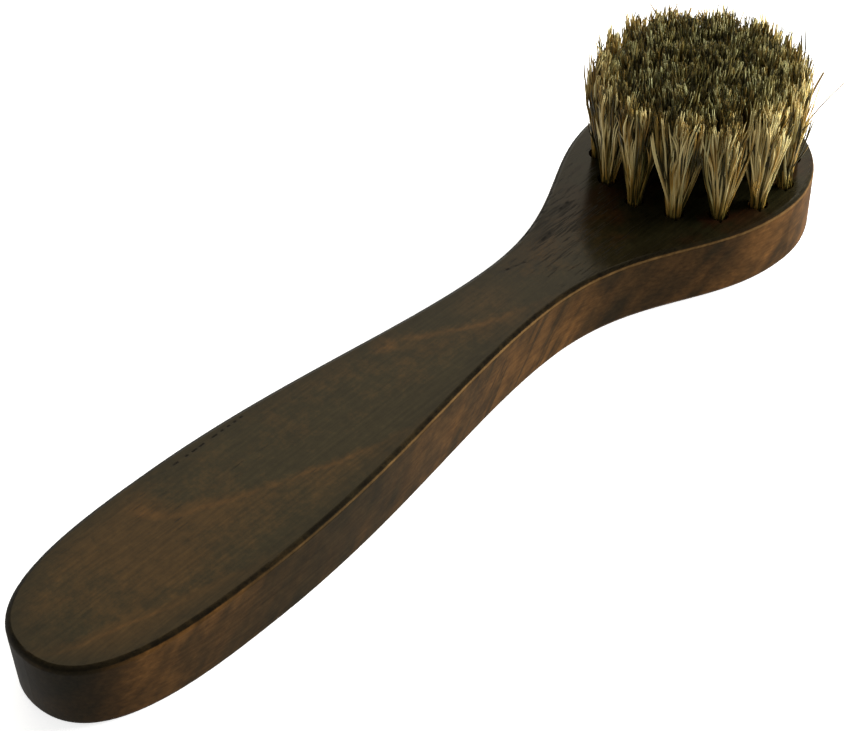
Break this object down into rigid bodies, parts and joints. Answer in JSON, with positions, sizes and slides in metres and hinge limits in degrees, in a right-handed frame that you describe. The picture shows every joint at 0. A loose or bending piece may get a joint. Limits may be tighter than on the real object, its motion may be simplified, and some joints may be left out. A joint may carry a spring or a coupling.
{
  "type": "shoe shine brush",
  "caption": "Long flat wooden brush with a rounded grip, a narrow neck and a round head set with rings of natural bristle tufts, for polishing shoes.",
  "frame": {"origin": "middle of the overall length and width on the board's flat back, which the brush lies on", "axes": "+X along the handle towards the round head, +Z out of the face the way the bristles point, +Y across the board"},
  "size_m": [0.175, 0.043, 0.0315],
  "materials": {
    "stained_wood": "satin",
    "natural_bristle": "matte",
    "anchor_wire": "satin"
  },
  "bodies": {
    "root": {"handle_board": "stained_wood", "tuft_ring1_01": "natural_bristle", "tuft_ring1_02": "natural_bristle", "tuft_ring1_03": "natural_bristle", "tuft_ring1_04": "natural_bristle", "tuft_ring1_05": "natural_bristle", "tuft_ring1_06": "natural_bristle", "tuft_ring1_07": "natural_bristle", "tuft_ring1_08": "natural_bristle", "tuft_ring1_09": "natural_bristle", "tuft_ring1_10": "natural_bristle", "tuft_ring1_11": "natural_bristle", "tuft_ring1_12": "natural_bristle", "tuft_ring1_13": "natural_bristle", "tuft_ring1_14": "natural_bristle", "tuft_ring2_01": "natural_bristle", "tuft_ring2_02": "natural_bristle", "tuft_ring2_03": "natural_bristle", "tuft_ring2_04": "natural_bristle", "tuft_ring2_05": "natural_bristle", "tuft_ring2_06": "natural_bristle", "tuft_ring2_07": "natural_bristle", "tuft_ring2_08": "natural_bristle", "tuft_ring2_09": "natural_bristle", "tuft_ring3_01": "natural_bristle", "tuft_ring3_02": "natural_bristle", "tuft_ring3_03": "natural_bristle", "tuft_ring3_04": "natural_bristle", "tuft_anchors": "anchor_wire"}
  },
  "joints": []
}
